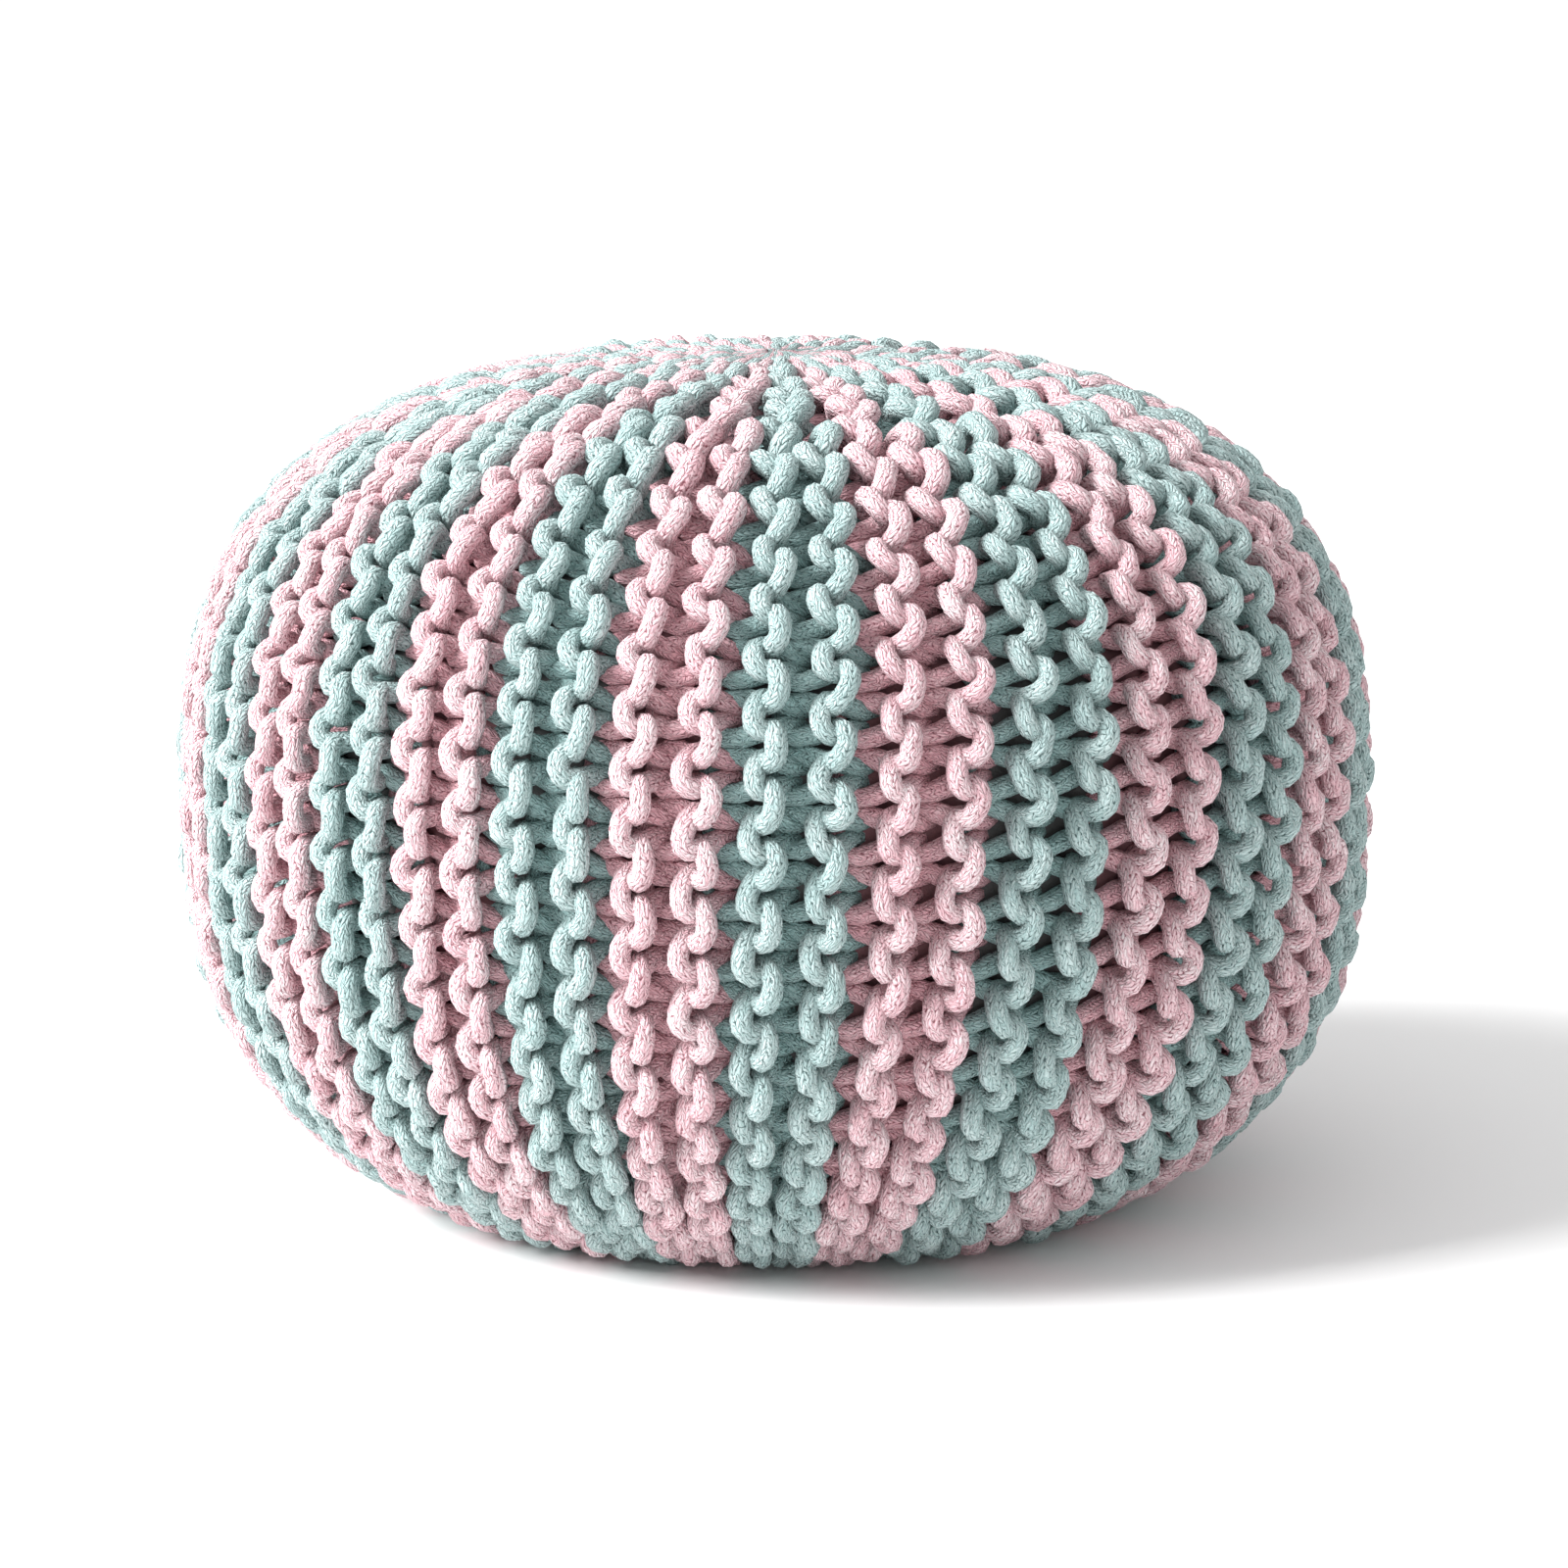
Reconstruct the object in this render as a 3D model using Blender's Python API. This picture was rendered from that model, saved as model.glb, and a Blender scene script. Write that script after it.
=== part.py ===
"""A round knitted pouf, filled and standing on its flat underside.

The body is knitted sideways in garter stitch, so its ribs run like meridians. Every stripe is two ribs
wide. Its left rib reaches the gathered middle of the top; its right rib is a short row, which starts
on a ring round the middle. The solid is the filled body with these ribs. Metres, +Z up, with the
origin at the middle of the underside and the photographed front towards -Y.
"""

import math

import bpy
import numpy as np

# Driving dimensions of the body
DIAMETER = 0.420
HEIGHT = 0.295
EQUATOR_HEIGHT = 0.136  # the widest level, above the floor
UNDERSIDE_DEPTH = 0.156  # from that level to where the lower curve would close, under the floor
CROWN_FULLNESS = 2.8  # superellipse exponents of the outline above and below the widest level
UNDERSIDE_FULLNESS = 2.5
DIMPLE_RADIUS = 0.022  # the gathered middle of the top
DIMPLE_DEPTH = 0.004

# Ribs
STRIPES = 30  # alternately pink and grey-green, with a grey-green one at the front
RIBS_PER_STRIPE = 2
RIB_HEIGHT = 0.0075  # crest above valley
RIB_ROUNDNESS = 0.6  # power of the sine that a rib's section follows
SHORT_ROW_RING = 0.128  # arc length from the middle of the top to where the short rows start
RIB_START = 0.030  # arc length over which a short row comes up beside its neighbour
FLOOR_FADE = 0.040  # arc length over which the ribs flatten towards the floor
FLOOR_RIB = 0.45  # what is left of their height there

# How the stripes drift round the body, in degrees. Each row adds sine or cosine of order times the
# stripe's even place, with a constant part and one that grows down the side, from -1 to 1.
DRIFT = (
    # order, constant cosine, constant sine, growing cosine, growing sine
    (0, 5.0, 0.0, -2.0, 0.0),
    (1, -1.3, -1.0, 0.0, -8.0),
    (2, -2.1, -1.7, 0.0, 0.0),
    (3, 0.0, 0.9, 0.0, 0.0),
)
DRIFT_SPAN = 0.168  # arc length above and below the widest level where the growing part is full

# Mesh
COLUMNS_PER_STRIPE = 8  # below the ring; half as many inside it
INNER_ROWS = 7
OUTER_ROWS = 14
OUTLINE_SAMPLES = 2000
POLE_RADIUS = 0.014  # the innermost ring of vertices

PINK = (0.72, 0.40, 0.45, 1.0)
GREY_GREEN = (0.36, 0.54, 0.53, 1.0)
COTTON_ROUGHNESS = 0.9


def smooth_step(value):
    """0 below 0 and 1 above 1, with a smooth rise between."""
    value = np.clip(value, 0.0, 1.0)
    return value * value * (3.0 - 2.0 * value)


class Outline:
    """The meridian along a rib's crest, from the middle of the top to the floor, by arc length."""

    def __init__(self):
        turn = np.linspace(0.5 * math.pi, 0.0, OUTLINE_SAMPLES)
        radius = DIAMETER / 2
        crown = 2.0 / CROWN_FULLNESS
        under = 2.0 / UNDERSIDE_FULLNESS
        upper_r = radius * np.cos(turn) ** crown
        upper_z = EQUATOR_HEIGHT + (HEIGHT - EQUATOR_HEIGHT) * np.sin(turn) ** crown
        upper_z -= DIMPLE_DEPTH * np.exp(-((upper_r / DIMPLE_RADIUS) ** 2))
        lower_r = radius * np.cos(turn[::-1]) ** under
        lower_z = EQUATOR_HEIGHT - UNDERSIDE_DEPTH * np.sin(turn[::-1]) ** under
        above_floor = lower_z > 0.0
        self.r = np.concatenate([upper_r, lower_r[above_floor][1:]])
        self.z = np.concatenate([upper_z, lower_z[above_floor][1:]])
        step = np.hypot(np.diff(self.r), np.diff(self.z))
        self.s = np.concatenate([[0.0], np.cumsum(step)])
        self.equator = self.s[OUTLINE_SAMPLES - 1]
        self.length = self.s[-1]
        slope_r = np.gradient(self.r, self.s)
        slope_z = np.gradient(self.z, self.s)
        self.normal_r = -slope_z
        self.normal_z = slope_r

    def at(self, arc):
        """Radius, height and the two parts of the outward normal."""
        return [np.interp(arc, self.s, row) for row in (self.r, self.z, self.normal_r, self.normal_z)]


def rib_section(phase):
    """Height of a row of ribs, each one long in phase: 0 in the valleys and 1 on the crests."""
    return np.abs(np.sin(math.pi * phase)) ** RIB_ROUNDNESS


def valley_depth(stripe_phase, arc, outline):
    """How far the surface lies below the crests, at a place across a stripe."""
    short_rows = smooth_step((arc - SHORT_ROW_RING) / RIB_START)
    one_rib = rib_section(stripe_phase)
    two_ribs = rib_section(RIBS_PER_STRIPE * stripe_phase)
    section = one_rib * (1.0 - short_rows) + two_ribs * short_rows
    near_floor = smooth_step((arc - outline.length + FLOOR_FADE) / FLOOR_FADE)
    return RIB_HEIGHT * (1.0 - section) * (1.0 - near_floor * (1.0 - FLOOR_RIB))


def azimuth(place, arc, outline):
    """Direction of a stripe's point, in radians from the front, from its even place round the body."""
    down = np.clip((arc - outline.equator) / DRIFT_SPAN, -1.0, 1.0)
    drift = 0.0
    for order, cosine, sine, growing_cosine, growing_sine in DRIFT:
        drift = drift + (cosine + growing_cosine * down) * np.cos(order * place)
        drift = drift + (sine + growing_sine * down) * np.sin(order * place)
    return place + np.radians(drift)


def ring_points(arc, columns_per_stripe, outline):
    """One ring of vertices round the body, ribs included."""
    column = np.arange(STRIPES * columns_per_stripe)
    stripe = column / columns_per_stripe
    place = 2.0 * math.pi * (stripe - 0.5) / STRIPES
    direction = azimuth(place, arc, outline)
    depth = valley_depth(stripe % 1.0, arc, outline)
    r, z, normal_r, normal_z = outline.at(arc)
    r = r - depth * normal_r
    z = z - depth * normal_z
    if arc >= outline.length:
        z = np.zeros_like(depth)
    return np.stack([r * np.sin(direction), -r * np.cos(direction), z], axis=1)


def same_columns(above, below, columns):
    """Quads between two rings with the same number of vertices."""
    faces = []
    for i in range(columns):
        j = (i + 1) % columns
        faces.append((above + i, below + i, below + j, above + j))
    return faces


def doubled_columns(above, below, columns):
    """Triangles from a ring to one with twice as many vertices."""
    faces = []
    for i in range(columns):
        j = (i + 1) % columns
        left = below + 2 * i
        middle = left + 1
        right = below + 2 * j
        faces.append((above + i, left, middle))
        faces.append((above + i, middle, above + j))
        faces.append((above + j, middle, right))
    return faces


def cotton(name, colour):
    material = bpy.data.materials.new(name)
    material.use_nodes = True
    material.diffuse_color = colour
    shader = material.node_tree.nodes["Principled BSDF"]
    shader.inputs["Base Color"].default_value = colour
    shader.inputs["Roughness"].default_value = COTTON_ROUGHNESS
    shader.inputs["Metallic"].default_value = 0.0
    return material


def colour_stripes(mesh, outline):
    """Gives each face the colour of the stripe that its middle lies in."""
    edges = np.arange(STRIPES + 1)
    places = 2.0 * math.pi * (edges - 0.5) / STRIPES
    for face in mesh.polygons:
        x, y, z = face.center
        level = int(np.argmin(np.hypot(outline.r - math.hypot(x, y), outline.z - z)))
        borders = azimuth(places, outline.s[level], outline)
        direction = (math.atan2(x, -y) - borders[0]) % (2.0 * math.pi)
        stripe = int(np.searchsorted(borders - borders[0], direction, side="right")) - 1
        face.material_index = stripe % 2
        face.use_smooth = abs(face.normal.z + 1.0) > 1e-4


def make_pouf():
    outline = Outline()
    inner_arcs = np.linspace(POLE_RADIUS, SHORT_ROW_RING, INNER_ROWS)
    outer_arcs = np.linspace(SHORT_ROW_RING, outline.length, OUTER_ROWS + 1)[1:]
    inner_columns = STRIPES * COLUMNS_PER_STRIPE // 2
    outer_columns = STRIPES * COLUMNS_PER_STRIPE

    points = [(0.0, 0.0, HEIGHT - DIMPLE_DEPTH)]
    faces = []
    starts = []
    for arc in inner_arcs:
        starts.append(len(points))
        points.extend(ring_points(arc, COLUMNS_PER_STRIPE // 2, outline).tolist())
    for arc in outer_arcs:
        starts.append(len(points))
        points.extend(ring_points(arc, COLUMNS_PER_STRIPE, outline).tolist())

    for i in range(inner_columns):
        faces.append((0, 1 + i, 1 + (i + 1) % inner_columns))
    for row in range(INNER_ROWS - 1):
        faces.extend(same_columns(starts[row], starts[row + 1], inner_columns))
    faces.extend(doubled_columns(starts[INNER_ROWS - 1], starts[INNER_ROWS], inner_columns))
    for row in range(INNER_ROWS, INNER_ROWS + OUTER_ROWS - 1):
        faces.extend(same_columns(starts[row], starts[row + 1], outer_columns))
    rim = range(starts[-1], starts[-1] + outer_columns)
    faces.append(tuple(reversed(rim)))

    mesh = bpy.data.meshes.new("pouf")
    mesh.from_pydata(points, [], faces)
    mesh.materials.append(cotton("grey_green_cotton", GREY_GREEN))
    mesh.materials.append(cotton("pink_cotton", PINK))
    colour_stripes(mesh, outline)
    mesh.validate()
    pouf = bpy.data.objects.new("pouf", mesh)
    bpy.context.scene.collection.objects.link(pouf)
    return pouf


def main():
    for thing in list(bpy.data.objects):
        bpy.data.objects.remove(thing, do_unlink=True)
    make_pouf()


main()
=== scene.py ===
"""The looks of a round knitted pouf.

The cover is garter stitch in thick knitted cotton cord. Its rows run from the middle of the top to the
middle of the underside, and every two rows make one raised ridge. A stripe is a long ridge, which runs
all the way, and a short one, which turns back at a ring round the middle of the top and of the
underside. Each ridge is one tube of cord: down one row, round a turn and up the other row. Under the
cover is the filled body, whose dark copies of the cords' colours are painted shade. The cord's colour
has painted shade: it is deeper where the cord lies far under the crests. Metres, +Z up,
photographed front towards -Y, as in the frame.
"""

import math
from typing import NamedTuple

import bpy
import numpy as np
from mathutils import Matrix, Vector


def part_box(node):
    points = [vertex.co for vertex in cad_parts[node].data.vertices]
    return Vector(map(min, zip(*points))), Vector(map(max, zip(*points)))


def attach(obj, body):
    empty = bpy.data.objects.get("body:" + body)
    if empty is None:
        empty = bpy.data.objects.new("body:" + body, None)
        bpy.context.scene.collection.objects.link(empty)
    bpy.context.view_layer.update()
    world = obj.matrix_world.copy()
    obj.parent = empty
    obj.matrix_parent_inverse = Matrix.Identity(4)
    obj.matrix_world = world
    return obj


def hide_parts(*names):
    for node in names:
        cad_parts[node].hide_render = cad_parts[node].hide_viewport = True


class RowShape(NamedTuple):
    """The arcs of one of a ridge's two rows, which show and lie behind the next ridge in turn."""

    side: float  # 1 where the arcs that show swing to the ridge's right, and -1 where to its left
    start: float  # of a stitch, from the ridge's first stitch to the row's first arc that shows
    height: float  # of the cord's middle on the arcs that show, above the middle of the fabric
    back_depth: float  # of the arcs behind, under the middle of the fabric
    dive: tuple  # shares of its swing between which an arc dives in under its neighbours
    lag: float  # radians of the wave: how much further down the row an arc is highest
    lean: float  # sideways for each metre along the row

    def front(self, turn):
        """How far the cord has swung to the side that shows, from 0 to 1."""
        return np.clip(self.side * np.cos(turn), 0.0, 1.0)

    def back(self, turn):
        """How far it has swung behind the next ridge, from 0 to 1."""
        return np.clip(-self.side * np.cos(turn), 0.0, 1.0)


NODE = "pouf"

# Outline of the ridges' crests, as in the solid
EQUATOR_HEIGHT = 0.136  # the widest level, above the floor
UNDERSIDE_DEPTH = 0.156  # from that level to where the lower curve would close, under the floor
CROWN_FULLNESS = 2.8  # superellipse exponents above and below the widest level
UNDERSIDE_FULLNESS = 2.5
FLOOR_ROUNDING = 0.006  # height over which the lower curve turns into the flat underside
OUTLINE_SAMPLES = 2500

# Stripes and ridges. The stripes lie as in the solid, whose short ribs start a little lower.
STRIPES = 30
RING = 0.100  # arc length from either pole to the ring where the short ridges turn
RING_OPENING = 0.020  # arc length, centred on the ring, over which the long ridges make room
DRIFT = (
    # order, constant cosine, constant sine, growing cosine, growing sine, in degrees
    (0, 5.0, 0.0, -2.0, 0.0),
    (1, -1.3, -1.0, 0.0, -8.0),
    (2, -2.1, -1.7, 0.0, 0.0),
    (3, 0.0, 0.9, 0.0, 0.0),
)
DRIFT_SPAN = 0.168  # arc length above and below the widest level where the growing part is full

# Places of the stitches along a row
POLE_GAP = 0.0035  # arc length from a pole to the last stitches of the long ridges
PITCH = 0.0195
CROWN_PITCH = 0.006  # more on the shoulder, where the cover is stretched
CROWN_PITCH_AT = 0.140  # arc length from the top
CROWN_PITCH_WIDTH = 0.038
POLE_PITCH = -0.004  # and less near the poles
POLE_PITCH_WIDTH = 0.080
PHASE_SHIFT = 0.30  # of a stitch, so that the front has its stitches where the photographed one has
PHASE_WAVE = 0.25  # of a stitch, slowly round the body
PHASE_FADE = 3.0  # stitches over which both come in from a pole

# Shape of a stitch. An arc swings past the middle of its ridge and back behind the next valley.
LOOP_SWING = 0.0041
FULL_SWING_RIDGE = 0.0135  # closer ridges have a smaller swing
LOOP_SWELL = 0.19  # of a stitch: how far the ends of an arc reach past a plain sine wave
LOOP_SKEW = -0.04  # of a stitch, at each leg: how much wider the arcs that show are than a plain wave's
HEADS = RowShape(
    side=1.0, start=0.0, height=0.0102, back_depth=0.0030, dive=(0.35, 0.97), lag=0.08, lean=0.06
)
SINKERS = RowShape(
    side=-1.0, start=0.5, height=0.0097, back_depth=0.0087, dive=(0.32, 1.05), lag=0.42, lean=0.0
)
BACK_REACH = 0.0035  # how much further an arc swings behind the next ridge
LEG_STEP = 0.0030  # between the heights of the two legs of an arc
TURN_REACH = 0.60  # of a stitch: how far the ends of two rows run on towards the turn between them
CORD_RADIUS = 0.0036
BACK_THINNING = 0.0007  # taken off the radius behind the next ridge, where the cord is pulled tight
CROWN_SWELL = 0.17  # share by which the cord is thicker on the shoulder, where it is looser
CROWN_SWELL_AT = 0.120  # arc length from the top
CROWN_SWELL_WIDTH = 0.050
SQUEEZED_RIDGE = 0.009  # ridges narrower than this are squeezed, and their cord with them
LEAST_SQUEEZE = 0.40  # what is left of their depth and of the cord's radius near the poles

# How unevenly it is knitted: the greatest change in each measure of a stitch
UNEVEN_COUNT = 0.07  # of a stitch, along the row
UNEVEN_SWING = 0.0014
UNEVEN_LEAN = 0.25
UNEVEN_HEIGHT = 0.0013
UNEVEN_RADIUS = 0.00022
SEED = 20

# Mesh
SIDES = 8
FINE_SAMPLES = 100  # to a stitch, before they are thinned
HIDDEN_STEP = 0.0050  # between the points of a cord behind the front arcs
FRONT_DENSITY = 1.1  # how many more there are on the arc that shows, as a share
TURN_SAMPLES = 10
QUAD_CORNERS = ((0, 0), (0, 1), (1, 1), (1, 0))  # sections ahead along the tube, and sides on round it
ATLAS_STRIPS = 20  # strips of cord, one above the other, in the map for baking
ATLAS_MARGIN = 0.06  # of a strip's height, left free above and below
BODY_DEPTH = 0.0175  # of the filled body, under the crests
BODY_COLUMNS_PER_STRIPE = 4
BODY_ROWS = 60

# Surface of the cord: columns of small strands, loose fibres over them, and hollows between them, darkened
# with painted shade
STRAND_COLUMNS = 14.0  # round the cord; an even number
STRAND_LENGTH = 0.0019
STRAND_SLANT = 0.95  # of its length: how far a strand slants over its column, each column the other way
STRAND_ROUNDNESS = 2.1  # power of a strand's section
STRAND_RELIEF = 0.00055
FIBRE_RELIEF = 0.8  # of the strands' relief
WANDER_SCALE = 300.0
COLUMN_WANDER = 1.8  # columns over which the strands wander round the cord
LENGTH_WANDER = 2.1  # and strand lengths over which they wander along it
FIBRE_SCALE = 1700.0
PATCH_SCALE = 60.0
PATCH_DETAIL = 3.0
SPECK_SCALE = 800.0
# What the strands, the fibres, each strand's own tone and the patches add to the cloth's lightness; the
# strands' share is a painted highlight on their crests
STRAND_LIGHT = 0.2
FIBRE_LIGHT = 0.9
GRAIN_LIGHT = 0.24
PATCH_LIGHT = 0.70
LIGHT_RANGE = (0.25, 1.1)  # lightness over which the cloth's colour turns into its lightest one
HOLLOW_RANGE = (0.04, 0.46)  # height of a strand over which it rises out of its hollow's painted shade
SPECK_RANGE = (0.45, 0.62)  # noise over which a hollow's painted shade turns from its least to its most dark
SPECK_LEAST = 0.10
SPECK_MOST = 0.92
FIBRE_RANGE = (0.2, 0.8)  # fibre noise over which the cord's roughness changes
CORD_ROUGHNESS = (0.95, 0.8)
CORD_SHEEN = 0.08
SHEEN_ROUGHNESS = 0.6

# Surfaces of the filled body and the floor
FELT_TONE_SCALE = 90.0
FELT_TONE_DETAIL = 3.0
FELT_TONE_RANGE = (0.3, 0.7)  # tones over which its roughness changes
FELT_ROUGHNESS = (0.9, 1.0)
FELT_BUMP_SCALE = 700.0
FELT_RELIEF = 0.0004
FLOOR_TONE_SCALE = 3.0
FLOOR_ROUGHNESS = 0.95

# Colours: painted shade in the gaps between strands, of the cloth, of its lightest fibres, and painted
# shade where the cord lies far under the crests
PINK = (
    (0.13, 0.014, 0.028, 1.0),
    (0.66, 0.392, 0.435, 1.0),
    (0.77, 0.700, 0.715, 1.0),
    (0.65, 0.290, 0.335, 1.0),
)
GREY_GREEN = (
    (0.008, 0.036, 0.036, 1.0),
    (0.305, 0.432, 0.427, 1.0),
    (0.51, 0.605, 0.600, 1.0),
    (0.195, 0.368, 0.360, 1.0),
)
PAINTED_SHADE_FROM = 0.006  # under the crests, where a cord's colour begins to take the painted shade
PAINTED_SHADE_TO = 0.018
PAINTED_SHADE_SHARE = 0.65  # of the painted shade colour, at most
# The darkest and lightest colours of the filled body, dark copies of the cords' colours as painted shade,
# and of the floor
BODY_PINK_SHADE = ((0.14, 0.060, 0.068, 1.0), (0.25, 0.125, 0.135, 1.0))
BODY_GREY_GREEN_SHADE = ((0.060, 0.064, 0.063, 1.0), (0.125, 0.120, 0.120, 1.0))
FLOOR_TONES = ((0.94, 0.94, 0.94, 1.0), (0.95, 0.95, 0.95, 1.0))

# Camera and light
IMAGE_SIDE = 1600.0  # pixels
SENSOR = 36.0
FOCAL_PIXELS = 5150.0
CAMERA_DISTANCE = 1.785
CAMERA_ELEVATION = math.radians(11.6)
CENTRE_PIXEL = (790.3, 813.0)  # where the middle of the widest level is seen
FLOOR_SIDE = 40.0
SKY_STRENGTH = 0.83
KEY_PLACE = (-6.4, -2.2, 5.1)
KEY_SIDE = 4.4
KEY_POWER = 1740.0


def smooth_step(value):
    """0 below 0 and 1 above 1, with a smooth rise between."""
    value = np.clip(value, 0.0, 1.0)
    return value * value * (3.0 - 2.0 * value)


def flattened_at_floor(height):
    """The outline's heights, with what would be under the floor laid flat on it."""
    near = (height + FLOOR_ROUNDING) ** 2 / (4.0 * FLOOR_ROUNDING)
    flat = np.where(height < -FLOOR_ROUNDING, 0.0, near)
    return np.where(height > FLOOR_ROUNDING, height, flat)


class Outline:
    """The meridian along a ridge's crest, from the top pole to the bottom one, by arc length."""

    def __init__(self, radius, height):
        turn = np.linspace(0.5 * math.pi, 0.0, OUTLINE_SAMPLES)
        crown = 2.0 / CROWN_FULLNESS
        under = 2.0 / UNDERSIDE_FULLNESS
        upper_r = radius * np.cos(turn) ** crown
        upper_z = EQUATOR_HEIGHT + (height - EQUATOR_HEIGHT) * np.sin(turn) ** crown
        lower_r = radius * np.cos(turn[::-1]) ** under
        lower_z = EQUATOR_HEIGHT - UNDERSIDE_DEPTH * np.sin(turn[::-1]) ** under
        self.r = np.concatenate([upper_r, lower_r[1:]])
        self.z = flattened_at_floor(np.concatenate([upper_z, lower_z[1:]]))
        step = np.hypot(np.diff(self.r), np.diff(self.z))
        self.s = np.concatenate([[0.0], np.cumsum(step)])
        self.equator = self.s[OUTLINE_SAMPLES - 1]
        self.length = self.s[-1]
        self.normal_r = -np.gradient(self.z, self.s)
        self.normal_z = np.gradient(self.r, self.s)

    def radius(self, arc):
        return np.interp(arc, self.s, self.r)

    def below_crest(self, arc, depth):
        """Radius and height of a point that lies a depth under the crest line."""
        radius = np.interp(arc, self.s, self.r) - depth * np.interp(arc, self.s, self.normal_r)
        height = np.interp(arc, self.s, self.z) - depth * np.interp(arc, self.s, self.normal_z)
        return radius, height


class Stitches:
    """Where each stitch lies along a row, as the arc length for a count of stitches from the top."""

    def __init__(self, outline):
        self.arcs = np.linspace(POLE_GAP, outline.length - POLE_GAP, OUTLINE_SAMPLES)
        shoulder = np.exp(-(((self.arcs - CROWN_PITCH_AT) / CROWN_PITCH_WIDTH) ** 2))
        to_pole = np.minimum(self.arcs, outline.length - self.arcs)
        near_pole = np.exp(-((to_pole / POLE_PITCH_WIDTH) ** 2))
        self.pitches = PITCH + CROWN_PITCH * shoulder + POLE_PITCH * near_pole
        density = 0.5 * (1.0 / self.pitches[1:] + 1.0 / self.pitches[:-1])
        counts = np.concatenate([[0.0], np.cumsum(density * np.diff(self.arcs))])
        self.total = round(counts[-1])
        self.counts = counts * self.total / counts[-1]

    def arc(self, count, shift):
        """Arc length of a count of stitches in a row that is shifted down by part of a stitch."""
        fade = smooth_step(count / PHASE_FADE) * smooth_step((self.total - count) / PHASE_FADE)
        return np.interp(count + shift * fade, self.counts, self.arcs)

    def pitch(self, arc):
        return np.interp(arc, self.arcs, self.pitches)

    def whole_between(self, first_arc, last_arc, shift):
        """The first and last whole stitch that lie between two arc lengths."""
        counts = np.interp([first_arc, last_arc], self.arcs, self.counts) - shift
        return math.ceil(counts[0]), math.floor(counts[1])


def azimuth(place, arc, outline):
    """Direction of a point in radians from the front, from its even place round the body."""
    down = np.clip((arc - outline.equator) / DRIFT_SPAN, -1.0, 1.0)
    drift = 0.0
    for order, cosine, sine, growing_cosine, growing_sine in DRIFT:
        drift = drift + (cosine + growing_cosine * down) * np.cos(order * place)
        drift = drift + (sine + growing_sine * down) * np.sin(order * place)
    return place + np.radians(drift)


def opened(arc, outline):
    """0 where only long ridges run, near the poles, and 1 where the short ones lie beside them."""
    from_top = smooth_step((arc - RING) / RING_OPENING + 0.5)
    from_bottom = smooth_step((outline.length - RING - arc) / RING_OPENING + 0.5)
    return from_top * from_bottom


def thinned(path, steps):
    """Points of a fine path that lie about their steps apart."""
    length = np.linalg.norm(np.diff(path[:, :3], axis=0), axis=1)
    passed = np.concatenate([[0.0], np.cumsum(length / (0.5 * (steps[1:] + steps[:-1])))])
    wanted = np.linspace(0.0, passed[-1], round(passed[-1]) + 1)
    return np.stack([np.interp(wanted, passed, row) for row in path.T], axis=1)


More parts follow.
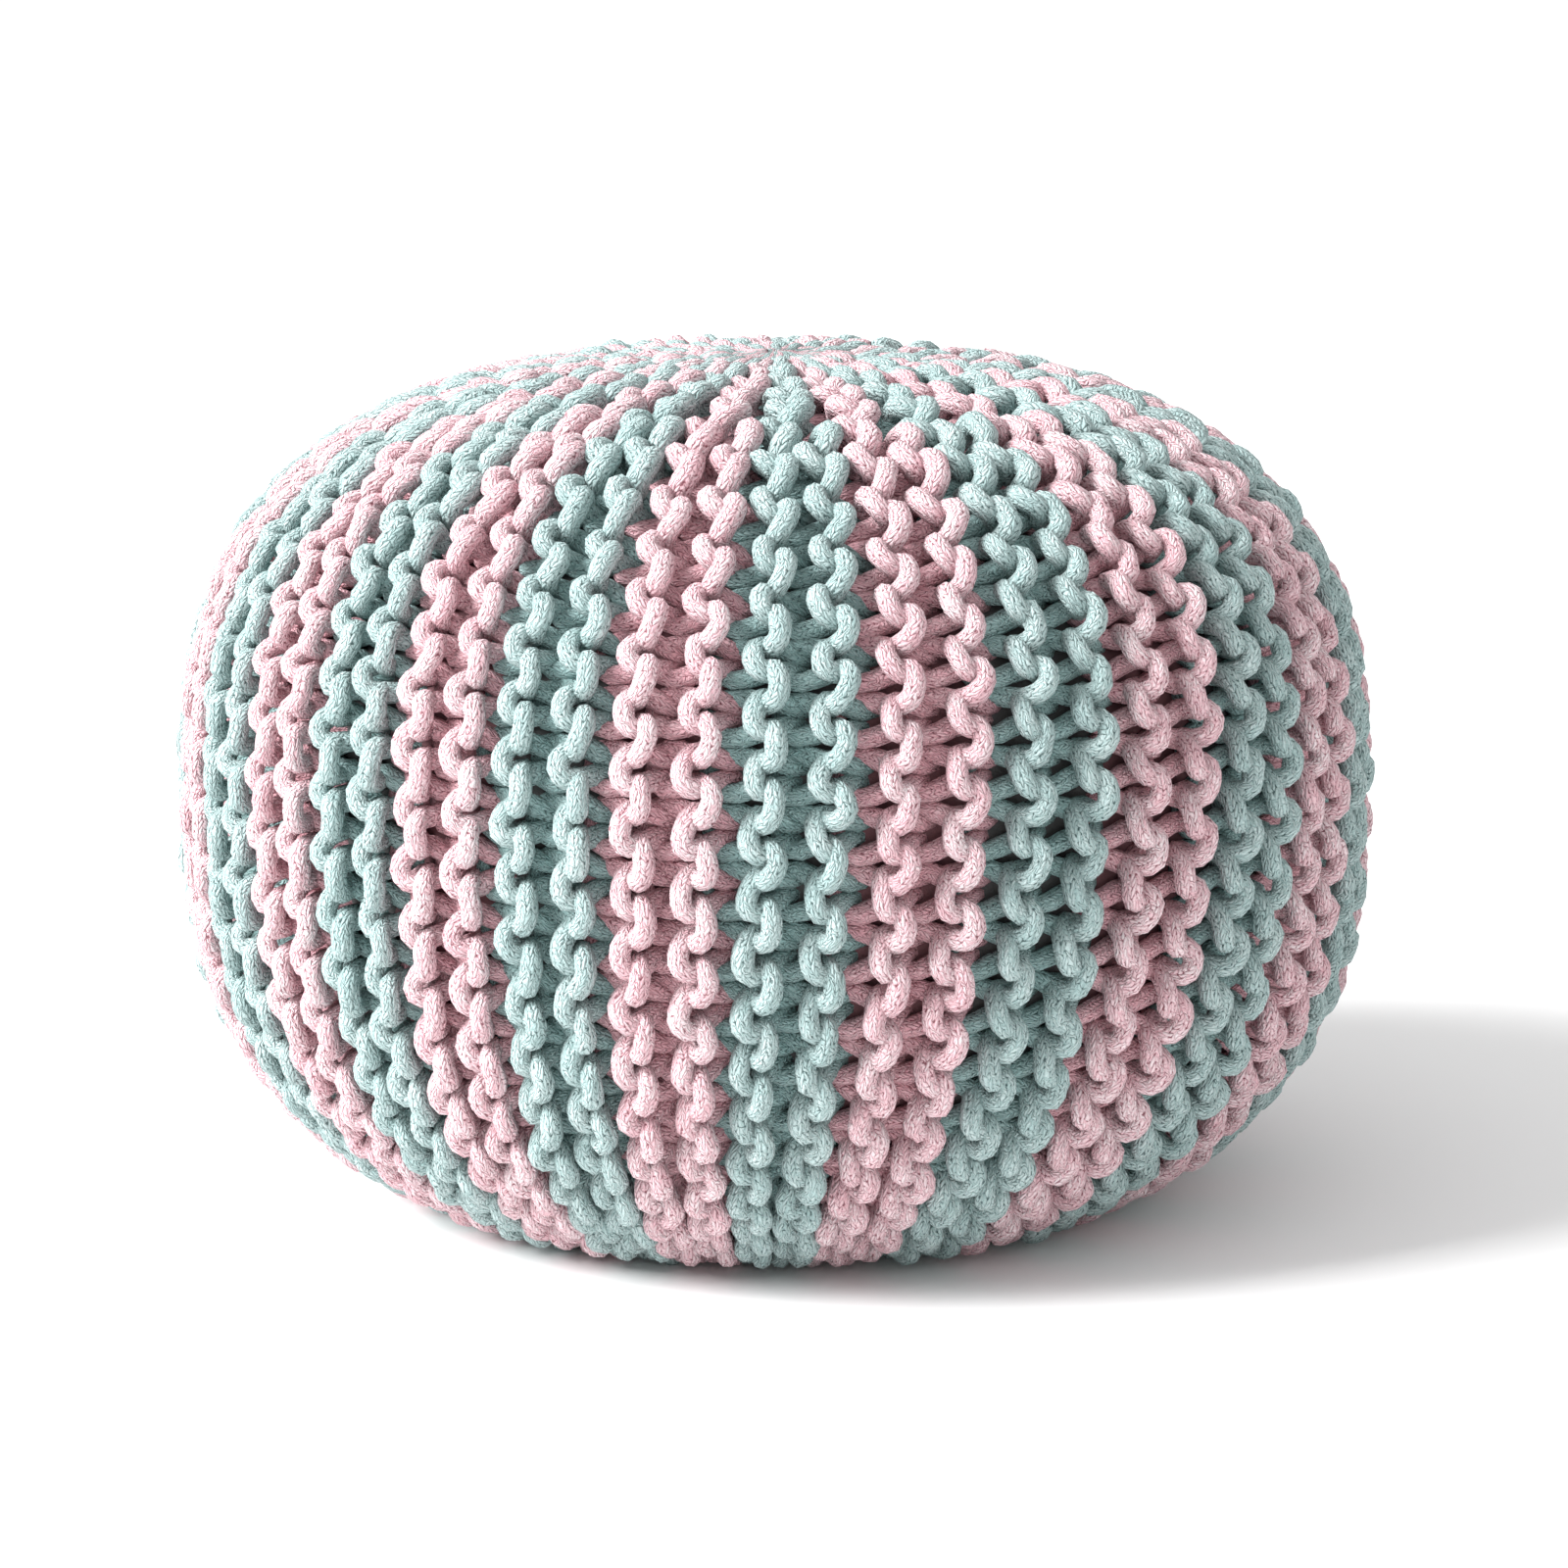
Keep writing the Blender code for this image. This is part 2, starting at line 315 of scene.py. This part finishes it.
class Ridge:
    """One ridge: a row of heads and a row of sinkers, whose cord is joined at both ends by a turn.

    Its points are kept in its own terms: sideways from its middle, arc length down the body, height
    over the middle of the fabric, and the radius of the cord.
    """

    def __init__(self, stripe, is_short, outline, stitches):
        self.outline = outline
        self.stitches = stitches
        self.stripe = stripe
        self.is_short = is_short
        self.random = np.random.default_rng(SEED + 2 * stripe + is_short)
        self.shift = PHASE_SHIFT + PHASE_WAVE * math.sin(2.0 * math.pi * stripe / STRIPES)
        self.first, self.last = 0, stitches.total
        if is_short:
            self.first, self.last = stitches.whole_between(RING, outline.length - RING, self.shift)

    def place(self, arc):
        """Even place round the body of the ridge's middle.

        Where the long ridge makes room, it moves from the middle of its stripe to the first quarter,
        and the short one comes in from the stripe's far edge to the last quarter.
        """
        open_part = opened(arc, self.outline)
        in_stripe = 1.0 - 0.25 * open_part if self.is_short else 0.5 - 0.25 * open_part
        return 2.0 * math.pi * (self.stripe - 0.5 + in_stripe) / STRIPES

    def widths(self, arc):
        """Distance between the ridge's two rows, and the room that each ridge has there."""
        open_part = opened(arc, self.outline)
        half = math.pi / STRIPES
        place = self.place(arc)
        turn = azimuth(place + half, arc, self.outline) - azimuth(place - half, arc, self.outline)
        stripe_width = turn * self.outline.radius(arc)
        room = stripe_width * (1.0 - 0.5 * open_part)
        spacing = 0.25 * stripe_width * open_part if self.is_short else 0.5 * room
        return spacing, room

    def uneven(self, count, most):
        """A value for each count of stitches that wanders between -most and most."""
        values = self.random.uniform(-most, most, 2 * (self.last - self.first) + 3)
        return np.interp(2.0 * (count - self.first) + 1.0, np.arange(len(values)), values)

    def sideways(self, shape, turn, count, arc):
        """How far a row's cord lies to the right of the ridge's middle."""
        spacing, room = self.widths(arc)
        freedom = np.minimum(room / FULL_SWING_RIDGE, 1.0)
        reach = (LOOP_SWING + self.uneven(count, UNEVEN_SWING)) * freedom
        reach_behind = BACK_REACH * freedom * shape.back(turn) ** 2
        swung = (0.5 * spacing + reach) * np.cos(turn) - shape.side * (0.5 * spacing + reach_behind)
        lean = shape.lean + self.uneven(count, UNEVEN_LEAN)
        middle = np.floor(count + 0.5 - shape.start) + shape.start
        return swung + lean * (middle - count) * self.stitches.pitch(arc) * shape.front(turn) ** 2

    def height(self, shape, turn, count):
        """How high a row's cord lies over the middle of the fabric."""
        back = shape.back(turn)
        low, high = shape.dive
        raised = np.clip(shape.side * np.cos(turn - shape.lag), 0.0, 1.0)
        height = shape.height * smooth_step((raised - low) / (high - low)) - shape.back_depth * back
        height = height - shape.side * LEG_STEP * np.sin(turn) * back
        return height + self.uneven(count, UNEVEN_HEIGHT) * shape.front(turn)

    def radius(self, shape, turn, count, arc):
        """The radius of a row's cord, smaller behind and larger on the shoulder."""
        radius = CORD_RADIUS - BACK_THINNING * shape.back(turn) + self.uneven(count, UNEVEN_RADIUS)
        shoulder = np.exp(-(((arc - CROWN_SWELL_AT) / CROWN_SWELL_WIDTH) ** 2))
        return radius * (1.0 + CROWN_SWELL * shoulder)

    def row(self, shape):
        """The cord along one row, from the top down."""
        start = shape.start - (0.5 if self.is_short else 0.0)
        samples = round((self.last - self.first - 2.0 * start) * FINE_SAMPLES) + 1
        turn = 2.0 * math.pi * np.linspace(self.first + start, self.last - start, samples)
        count = turn / (2.0 * math.pi) + LOOP_SWELL * np.sin(2.0 * turn)
        count = count + shape.side * LOOP_SKEW * np.sin(turn)
        arc = self.stitches.arc(count + self.uneven(count, UNEVEN_COUNT), self.shift)
        sideways = self.sideways(shape, turn, count, arc)
        height = self.height(shape, turn, count)
        radius = self.radius(shape, turn, count, arc)
        fine = np.stack([sideways, arc, height, radius], axis=1)
        density = 1.0 + FRONT_DENSITY * smooth_step(height / shape.height)
        return thinned(fine, HIDDEN_STEP / density)

    def turn_between(self, start, end, way):
        """The cord from the end of one row to the end of the other. way is -1 at the top and 1 below."""
        pull = way * TURN_REACH * self.stitches.pitch(start[1])
        t = np.linspace(0.0, 1.0, TURN_SAMPLES + 2)[1:-1, None]
        speed = np.array([0.0, pull, 0.0, 0.0])
        from_start = (2.0 * t**3 - 3.0 * t**2 + 1.0) * start + (t**3 - 2.0 * t**2 + t) * speed
        to_end = (3.0 * t**2 - 2.0 * t**3) * end - (t**3 - t**2) * speed
        return from_start + to_end

    def path(self):
        """The whole closed cord in the ridge's own terms."""
        heads = self.row(HEADS)
        sinkers = self.row(SINKERS)[::-1]
        below = self.turn_between(heads[-1], sinkers[0], 1.0)
        above = self.turn_between(sinkers[-1], heads[0], -1.0)
        return np.concatenate([heads, below, sinkers, above])

    def laid(self):
        """The cord's middle line on the body, its radius, and the painted shade of its depth under the
        crests, from 0 to 1.
        """
        sideways, arc, height, radius = self.path().T
        room = self.widths(arc)[1]
        squeeze = np.sqrt(np.clip(room / SQUEEZED_RIDGE, LEAST_SQUEEZE**2, 1.0))
        depth = (HEADS.height + CORD_RADIUS - height) * squeeze
        round_body = np.maximum(self.outline.radius(arc), POLE_GAP)
        direction = azimuth(self.place(arc), arc, self.outline) + sideways / round_body
        r, z = self.outline.below_crest(arc, depth)
        points = np.stack([r * np.sin(direction), -r * np.cos(direction), z], axis=1)
        # painted shade: 0 at the crests, growing to 1 where the cord lies far under them
        painted_shade = smooth_step((depth - PAINTED_SHADE_FROM) / (PAINTED_SHADE_TO - PAINTED_SHADE_FROM))
        return points, radius * squeeze, painted_shade


def normalised(vectors):
    return vectors / np.linalg.norm(vectors, axis=-1, keepdims=True)


def untwisted_sides(tangents):
    """A direction square to each tangent of a closed path, turning as little as it can."""
    sides = np.empty_like(tangents)
    side = normalised(np.cross(tangents[0], [0.0, 0.0, 1.0]))
    first = side
    for i, tangent in enumerate(tangents):
        side = side - tangent * side.dot(tangent)
        side = side / math.sqrt(side.dot(side))
        sides[i] = side
    last = normalised(side - tangents[0] * side.dot(tangents[0]))
    gap = math.atan2(np.cross(first, last).dot(tangents[0]), first.dot(last))
    angle = -gap * np.arange(len(tangents)) / len(tangents)
    across = np.cross(tangents, sides)
    return sides * np.cos(angle)[:, None] + across * np.sin(angle)[:, None]


def tube(points, radii):
    """Vertices of a closed tube, its quads, and for each quad corner its length along and round."""
    count = len(points)
    tangents = normalised(np.roll(points, -1, axis=0) - np.roll(points, 1, axis=0))
    sides = untwisted_sides(tangents)
    across = np.cross(tangents, sides)
    angle = 2.0 * math.pi * np.arange(SIDES) / SIDES
    ring = np.cos(angle)[None, :, None] * sides[:, None] + np.sin(angle)[None, :, None] * across[:, None]
    vertices = (points[:, None] + radii[:, None, None] * ring).reshape(-1, 3)
    vertices[:, 2] = np.maximum(vertices[:, 2], 0.0)
    step = np.linalg.norm(np.roll(points, -1, axis=0) - points, axis=1)
    length = np.concatenate([[0.0], np.cumsum(step)])
    i, j = np.meshgrid(np.arange(count), np.arange(SIDES), indexing="ij")
    corners = []
    texture = []
    for ahead, turned in QUAD_CORNERS:
        corners.append(((i + ahead) % count) * SIDES + (j + turned) % SIDES)
        texture.append(np.stack([length[i + ahead], (j + turned) / SIDES], axis=-1))
    quads = np.stack(corners, axis=-1).reshape(-1, 4)
    texture = np.stack(texture, axis=-2).reshape(-1, 4, 2)
    return vertices, quads, texture


def atlas(section_counts):
    """The map for baking: the tubes cut into strips of equal length, one above the other."""
    sections = np.arange(sum(section_counts))
    per_strip = math.ceil(len(sections) / ATLAS_STRIPS)
    strip, along = np.divmod(sections, per_strip)
    corners = np.empty((len(sections), SIDES, 4, 2))
    side = np.arange(SIDES)[None, :]
    for corner, (ahead, turned) in enumerate(QUAD_CORNERS):
        round_part = (side + turned) / SIDES * (1.0 - 2.0 * ATLAS_MARGIN) + ATLAS_MARGIN
        corners[:, :, corner, 0] = ((along + ahead) / per_strip)[:, None]
        corners[:, :, corner, 1] = (strip[:, None] + round_part) / ATLAS_STRIPS
    return corners.reshape(-1, 4, 2)


def mesh_object(name, vertices, quads, maps):
    """A smooth mesh object with its texture maps."""
    mesh = bpy.data.meshes.new(name)
    mesh.from_pydata(vertices.tolist(), [], quads.tolist())
    for map_name, corners in maps.items():
        layer = mesh.uv_layers.new(name=map_name)
        layer.data.foreach_set("uv", corners.reshape(-1).astype(np.float32))
    mesh.shade_smooth()
    piece = bpy.data.objects.new(name, mesh)
    bpy.context.scene.collection.objects.link(piece)
    return piece


def knit_stripe(stripe, outline, stitches, material):
    """One stripe of the cover: its long and its short ridge."""
    vertices = []
    quads = []
    texture = []
    section_counts = []
    painted_shade = []
    start = 0
    for is_short in (False, True):
        points, radii, ridge_painted_shade = Ridge(stripe, is_short, outline, stitches).laid()
        ridge_vertices, ridge_quads, ridge_texture = tube(points, radii)
        vertices.append(ridge_vertices)
        quads.append(ridge_quads + start)
        texture.append(ridge_texture)
        section_counts.append(len(points))
        painted_shade.append(np.repeat(ridge_painted_shade, SIDES))
        start += len(ridge_vertices)
    maps = {"cord": np.concatenate(texture), "OFBake": atlas(section_counts)}
    piece = mesh_object(f"stripe_{stripe:02d}", np.concatenate(vertices), np.concatenate(quads), maps)
    # the painted shade of each point, read by the cord's material
    layer = piece.data.attributes.new("painted_shade", "FLOAT", "POINT")
    layer.data.foreach_set("value", np.concatenate(painted_shade).astype(np.float32))
    piece.data.materials.append(material)
    return piece


def body_points(outline, columns):
    """Rings of points just under the cover, from the top down."""
    places = 2.0 * math.pi * (np.arange(columns) / BODY_COLUMNS_PER_STRIPE - 0.5) / STRIPES
    rings = []
    for arc in np.linspace(POLE_GAP, outline.length - POLE_GAP, BODY_ROWS):
        r, z = outline.below_crest(arc, BODY_DEPTH * min(1.0, arc / BODY_DEPTH))
        direction = azimuth(places, arc, outline)
        level = np.full(columns, z)
        rings.append(np.stack([r * np.sin(direction), -r * np.cos(direction), level], axis=1))
    return np.concatenate(rings)


def body_faces(columns):
    """Quads between the rings and a lid at either end, and each face's material."""
    faces = []
    materials = []
    for row in range(BODY_ROWS - 1):
        above = row * columns
        below = above + columns
        for i in range(columns):
            j = (i + 1) % columns
            faces.append((above + i, below + i, below + j, above + j))
            materials.append(i // BODY_COLUMNS_PER_STRIPE % 2)
    faces.append(tuple(range(columns)))
    faces.append(tuple(reversed(range((BODY_ROWS - 1) * columns, BODY_ROWS * columns))))
    materials.extend((0, 0))
    return faces, materials


def filled_body(outline, materials):
    """The stuffed body just under the cover, in darker stripes of the same colours, which are painted
    shade.
    """
    columns = STRIPES * BODY_COLUMNS_PER_STRIPE
    faces, face_materials = body_faces(columns)
    mesh = bpy.data.meshes.new("filled_body")
    mesh.from_pydata(body_points(outline, columns).tolist(), [], faces)
    for material in materials:
        mesh.materials.append(material)
    mesh.polygons.foreach_set("material_index", face_materials)
    mesh.shade_smooth()
    body = bpy.data.objects.new("filled_body", mesh)
    bpy.context.scene.collection.objects.link(body)
    return body


class Nodes:
    """Short calls for building a material's node tree."""

    def __init__(self, name):
        self.material = bpy.data.materials.new(name)
        self.material.use_nodes = True
        self.tree = self.material.node_tree
        self.shader = self.tree.nodes["Principled BSDF"]

    def link(self, socket, value):
        if isinstance(value, bpy.types.NodeSocket):
            self.tree.links.new(value, socket)
        else:
            socket.default_value = value

    def math(self, operation, *values):
        node = self.tree.nodes.new("ShaderNodeMath")
        node.operation = operation
        for socket, value in zip(node.inputs, values):
            self.link(socket, value)
        return node.outputs[0]

    def centred(self, value):
        """0 to 1 as -0.5 to 0.5."""
        return self.math("SUBTRACT", value, 0.5)

    def rounded(self, part):
        """A round crest over -0.5 to 0.5, which is 1 in its middle and 0 at both ends."""
        from_middle = self.math("ABSOLUTE", self.math("MULTIPLY", part, 2.0))
        return self.math("SUBTRACT", 1.0, self.math("POWER", from_middle, STRAND_ROUNDNESS))

    def ramp(self, value, low, high, to_low=0.0, to_high=1.0):
        """value from low..high to to_low..to_high, smoothly, and level outside."""
        node = self.tree.nodes.new("ShaderNodeMapRange")
        node.interpolation_type = "SMOOTHSTEP"
        for socket, number in zip(node.inputs, (value, low, high, to_low, to_high)):
            self.link(socket, number)
        return node.outputs[0]

    def noise(self, vector, scale, detail=2.0):
        node = self.tree.nodes.new("ShaderNodeTexNoise")
        self.link(node.inputs["Vector"], vector)
        node.inputs["Scale"].default_value = scale
        node.inputs["Detail"].default_value = detail
        return node.outputs["Fac"]

    def white_noise(self, vector):
        """A value of its own for each whole vector."""
        node = self.tree.nodes.new("ShaderNodeTexWhiteNoise")
        self.link(node.inputs["Vector"], vector)
        return node.outputs["Value"]

    def mix(self, factor, first, second):
        node = self.tree.nodes.new("ShaderNodeMix")
        node.data_type = "RGBA"
        self.link(node.inputs["Factor"], factor)
        self.link(node.inputs["A"], first)
        self.link(node.inputs["B"], second)
        return node.outputs["Result"]

    def vector(self, x, y, z):
        node = self.tree.nodes.new("ShaderNodeCombineXYZ")
        for socket, value in zip(node.inputs, (x, y, z)):
            self.link(socket, value)
        return node.outputs[0]

    def position(self):
        return self.tree.nodes.new("ShaderNodeTexCoord").outputs["Object"]

    def cord_map(self):
        """Length along the cord in metres, and the part of the way round it."""
        node = self.tree.nodes.new("ShaderNodeUVMap")
        node.uv_map = "cord"
        parts = self.tree.nodes.new("ShaderNodeSeparateXYZ")
        self.tree.links.new(node.outputs[0], parts.inputs[0])
        return parts.outputs[0], parts.outputs[1]

    def painted_shade(self):
        """Painted shade for how far the cord lies under the crests, from 0 to 1."""
        node = self.tree.nodes.new("ShaderNodeAttribute")
        node.attribute_name = "painted_shade"
        return node.outputs["Fac"]

    def bump(self, height, distance):
        node = self.tree.nodes.new("ShaderNodeBump")
        node.inputs["Strength"].default_value = 1.0
        node.inputs["Distance"].default_value = distance
        self.link(node.inputs["Height"], height)
        self.tree.links.new(node.outputs[0], self.shader.inputs["Normal"])


def strand_pattern(n, wander):
    """Height of the small strands, from 0 between them to 1, and a vector that is each one's own."""
    along, round_part = n.cord_map()
    columns = n.math("MULTIPLY_ADD", wander, COLUMN_WANDER, n.math("MULTIPLY", round_part, STRAND_COLUMNS))
    across = n.centred(n.math("FRACT", columns))
    column = n.math("FLOOR", columns)
    side = n.math("MULTIPLY_ADD", n.math("FLOORED_MODULO", column, 2.0), 2.0, -1.0)
    slant = n.math("MULTIPLY", n.math("MULTIPLY", across, side), STRAND_SLANT)
    strands = n.math("ADD", n.math("DIVIDE", along, STRAND_LENGTH), slant)
    strands = n.math("MULTIPLY_ADD", wander, LENGTH_WANDER, strands)
    part = n.centred(n.math("FRACT", strands))
    strand = n.math("MULTIPLY", n.rounded(across), n.rounded(part))
    own = n.vector(n.math("FLOORED_MODULO", column, STRAND_COLUMNS), n.math("FLOOR", strands), 0.0)
    return strand, own


def cloth_colour(n, strand, own, fibre, middle, light, painted_shade):
    """The cloth's colour, from its middle to its lightest one, with painted shade making it deeper where
    the cord lies far under the crests.
    """
    grain = n.centred(n.white_noise(own))
    patches = n.centred(n.noise(n.position(), PATCH_SCALE, PATCH_DETAIL))
    # the strands' crests are painted lighter as a painted highlight, while the fibres, grain and patches
    # are tone that changes at random
    lightness = n.math("MULTIPLY_ADD", fibre, FIBRE_LIGHT, n.math("MULTIPLY", strand, STRAND_LIGHT))
    lightness = n.math("MULTIPLY_ADD", grain, GRAIN_LIGHT, lightness)
    lightness = n.math("MULTIPLY_ADD", patches, PATCH_LIGHT, lightness)
    cloth = n.mix(n.ramp(lightness, *LIGHT_RANGE), middle, light)
    return n.mix(n.math("MULTIPLY", n.painted_shade(), PAINTED_SHADE_SHARE), cloth, painted_shade)


def cotton_cord(name, gap, middle, light, painted_shade):
    """Knitted cotton cord: columns of small slanted strands, with fibres, and painted shade in dark specks
    between.
    """
    n = Nodes(name)
    place = n.position()
    strand, own = strand_pattern(n, n.centred(n.noise(place, WANDER_SCALE)))
    fibre = n.noise(place, FIBRE_SCALE)
    cloth = cloth_colour(n, strand, own, fibre, middle, light, painted_shade)
    # painted shade: the hollows between the strands are darkened towards the gap colour, by an amount that
    # varies in specks
    hollow_shade = n.ramp(strand, *HOLLOW_RANGE, 1.0, 0.0)
    speck_shade = n.ramp(n.noise(place, SPECK_SCALE), *SPECK_RANGE, SPECK_LEAST, SPECK_MOST)
    n.link(n.shader.inputs["Base Color"], n.mix(n.math("MULTIPLY", hollow_shade, speck_shade), cloth, gap))
    n.bump(n.math("MULTIPLY_ADD", fibre, FIBRE_RELIEF, strand), STRAND_RELIEF)
    n.link(n.shader.inputs["Roughness"], n.ramp(fibre, *FIBRE_RANGE, *CORD_ROUGHNESS))
    n.shader.inputs["Sheen Weight"].default_value = CORD_SHEEN
    n.shader.inputs["Sheen Roughness"].default_value = SHEEN_ROUGHNESS
    return n.material


def body_shade_cloth(name, dark, light):
    """The stuffed body's cloth, dark with painted shade, seen only in the gaps between the stitches."""
    n = Nodes(name)
    place = n.position()
    tone = n.noise(place, FELT_TONE_SCALE, FELT_TONE_DETAIL)
    n.link(n.shader.inputs["Base Color"], n.mix(tone, dark, light))
    n.link(n.shader.inputs["Roughness"], n.ramp(tone, *FELT_TONE_RANGE, *FELT_ROUGHNESS))
    n.bump(n.noise(place, FELT_BUMP_SCALE), FELT_RELIEF)
    return n.material


def floor_material():
    n = Nodes("pale_floor")
    tone = n.noise(n.position(), FLOOR_TONE_SCALE)
    n.link(n.shader.inputs["Base Color"], n.mix(tone, *FLOOR_TONES))
    n.shader.inputs["Roughness"].default_value = FLOOR_ROUGHNESS
    return n.material


def make_floor():
    half = 0.5 * FLOOR_SIDE
    corners = [(-half, -half, 0.0), (half, -half, 0.0), (half, half, 0.0), (-half, half, 0.0)]
    mesh = bpy.data.meshes.new("floor")
    mesh.from_pydata(corners, [], [(0, 1, 2, 3)])
    floor = bpy.data.objects.new("floor", mesh)
    bpy.context.scene.collection.objects.link(floor)
    floor.data.materials.append(floor_material())


def area_light(name, place, target, side, power):
    light = bpy.data.lights.new(name, "AREA")
    light.size = side
    light.energy = power
    lamp = bpy.data.objects.new(name, light)
    lamp.location = place
    lamp.rotation_euler = (Vector(target) - Vector(place)).to_track_quat("-Z", "Y").to_euler()
    bpy.context.scene.collection.objects.link(lamp)


def make_light():
    world = bpy.data.worlds.new("studio")
    bpy.context.scene.world = world
    world.use_nodes = True
    background = world.node_tree.nodes["Background"]
    background.inputs["Color"].default_value = (1.0, 1.0, 1.0, 1.0)
    background.inputs["Strength"].default_value = SKY_STRENGTH
    middle = (0.0, 0.0, EQUATOR_HEIGHT)
    area_light("key", KEY_PLACE, middle, KEY_SIDE, KEY_POWER)
    bpy.context.scene.view_settings.view_transform = "Standard"


def make_camera():
    camera = bpy.data.cameras.new("camera")
    camera.sensor_width = SENSOR
    camera.lens = FOCAL_PIXELS / IMAGE_SIDE * SENSOR
    scale = CAMERA_DISTANCE / FOCAL_PIXELS
    across = (0.5 * IMAGE_SIDE - CENTRE_PIXEL[0]) * scale
    upward = (CENTRE_PIXEL[1] - 0.5 * IMAGE_SIDE) * scale
    tilt = Matrix.Rotation(0.5 * math.pi - CAMERA_ELEVATION, 4, "X")
    back = tilt @ Vector((across, upward, CAMERA_DISTANCE))
    holder = bpy.data.objects.new("camera", camera)
    holder.matrix_world = Matrix.Translation(Vector((0.0, 0.0, EQUATOR_HEIGHT)) + back) @ tilt
    bpy.context.scene.collection.objects.link(holder)
    bpy.context.scene.camera = holder


def make_pouf():
    low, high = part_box(NODE)
    outline = Outline(0.5 * (high[0] - low[0]), high[2] - low[2])
    stitches = Stitches(outline)
    cords = (
        ("grey_green_cord", cotton_cord("grey_green_cord", *GREY_GREEN)),
        ("pink_cord", cotton_cord("pink_cord", *PINK)),
    )
    for stripe in range(STRIPES):
        slot, material = cords[stripe % 2]
        piece = knit_stripe(stripe, outline, stitches, material)
        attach(piece, "root")
    # painted shade: the body's colours are dark copies of the cords' colours, for the gaps between the
    # stitches
    body = filled_body(outline, (body_shade_cloth("body_grey_green", *BODY_GREY_GREEN_SHADE), body_shade_cloth("body_pink", *BODY_PINK_SHADE)))
    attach(body, "root")
    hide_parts(NODE)


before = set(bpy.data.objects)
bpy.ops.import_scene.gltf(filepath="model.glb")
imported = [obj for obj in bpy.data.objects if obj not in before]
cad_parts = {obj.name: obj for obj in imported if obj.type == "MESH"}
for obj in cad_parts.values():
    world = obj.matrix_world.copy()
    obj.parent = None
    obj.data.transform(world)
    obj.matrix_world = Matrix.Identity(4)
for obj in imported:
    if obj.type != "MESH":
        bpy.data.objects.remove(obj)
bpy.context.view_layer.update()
make_camera()
make_light()
make_floor()
make_pouf()
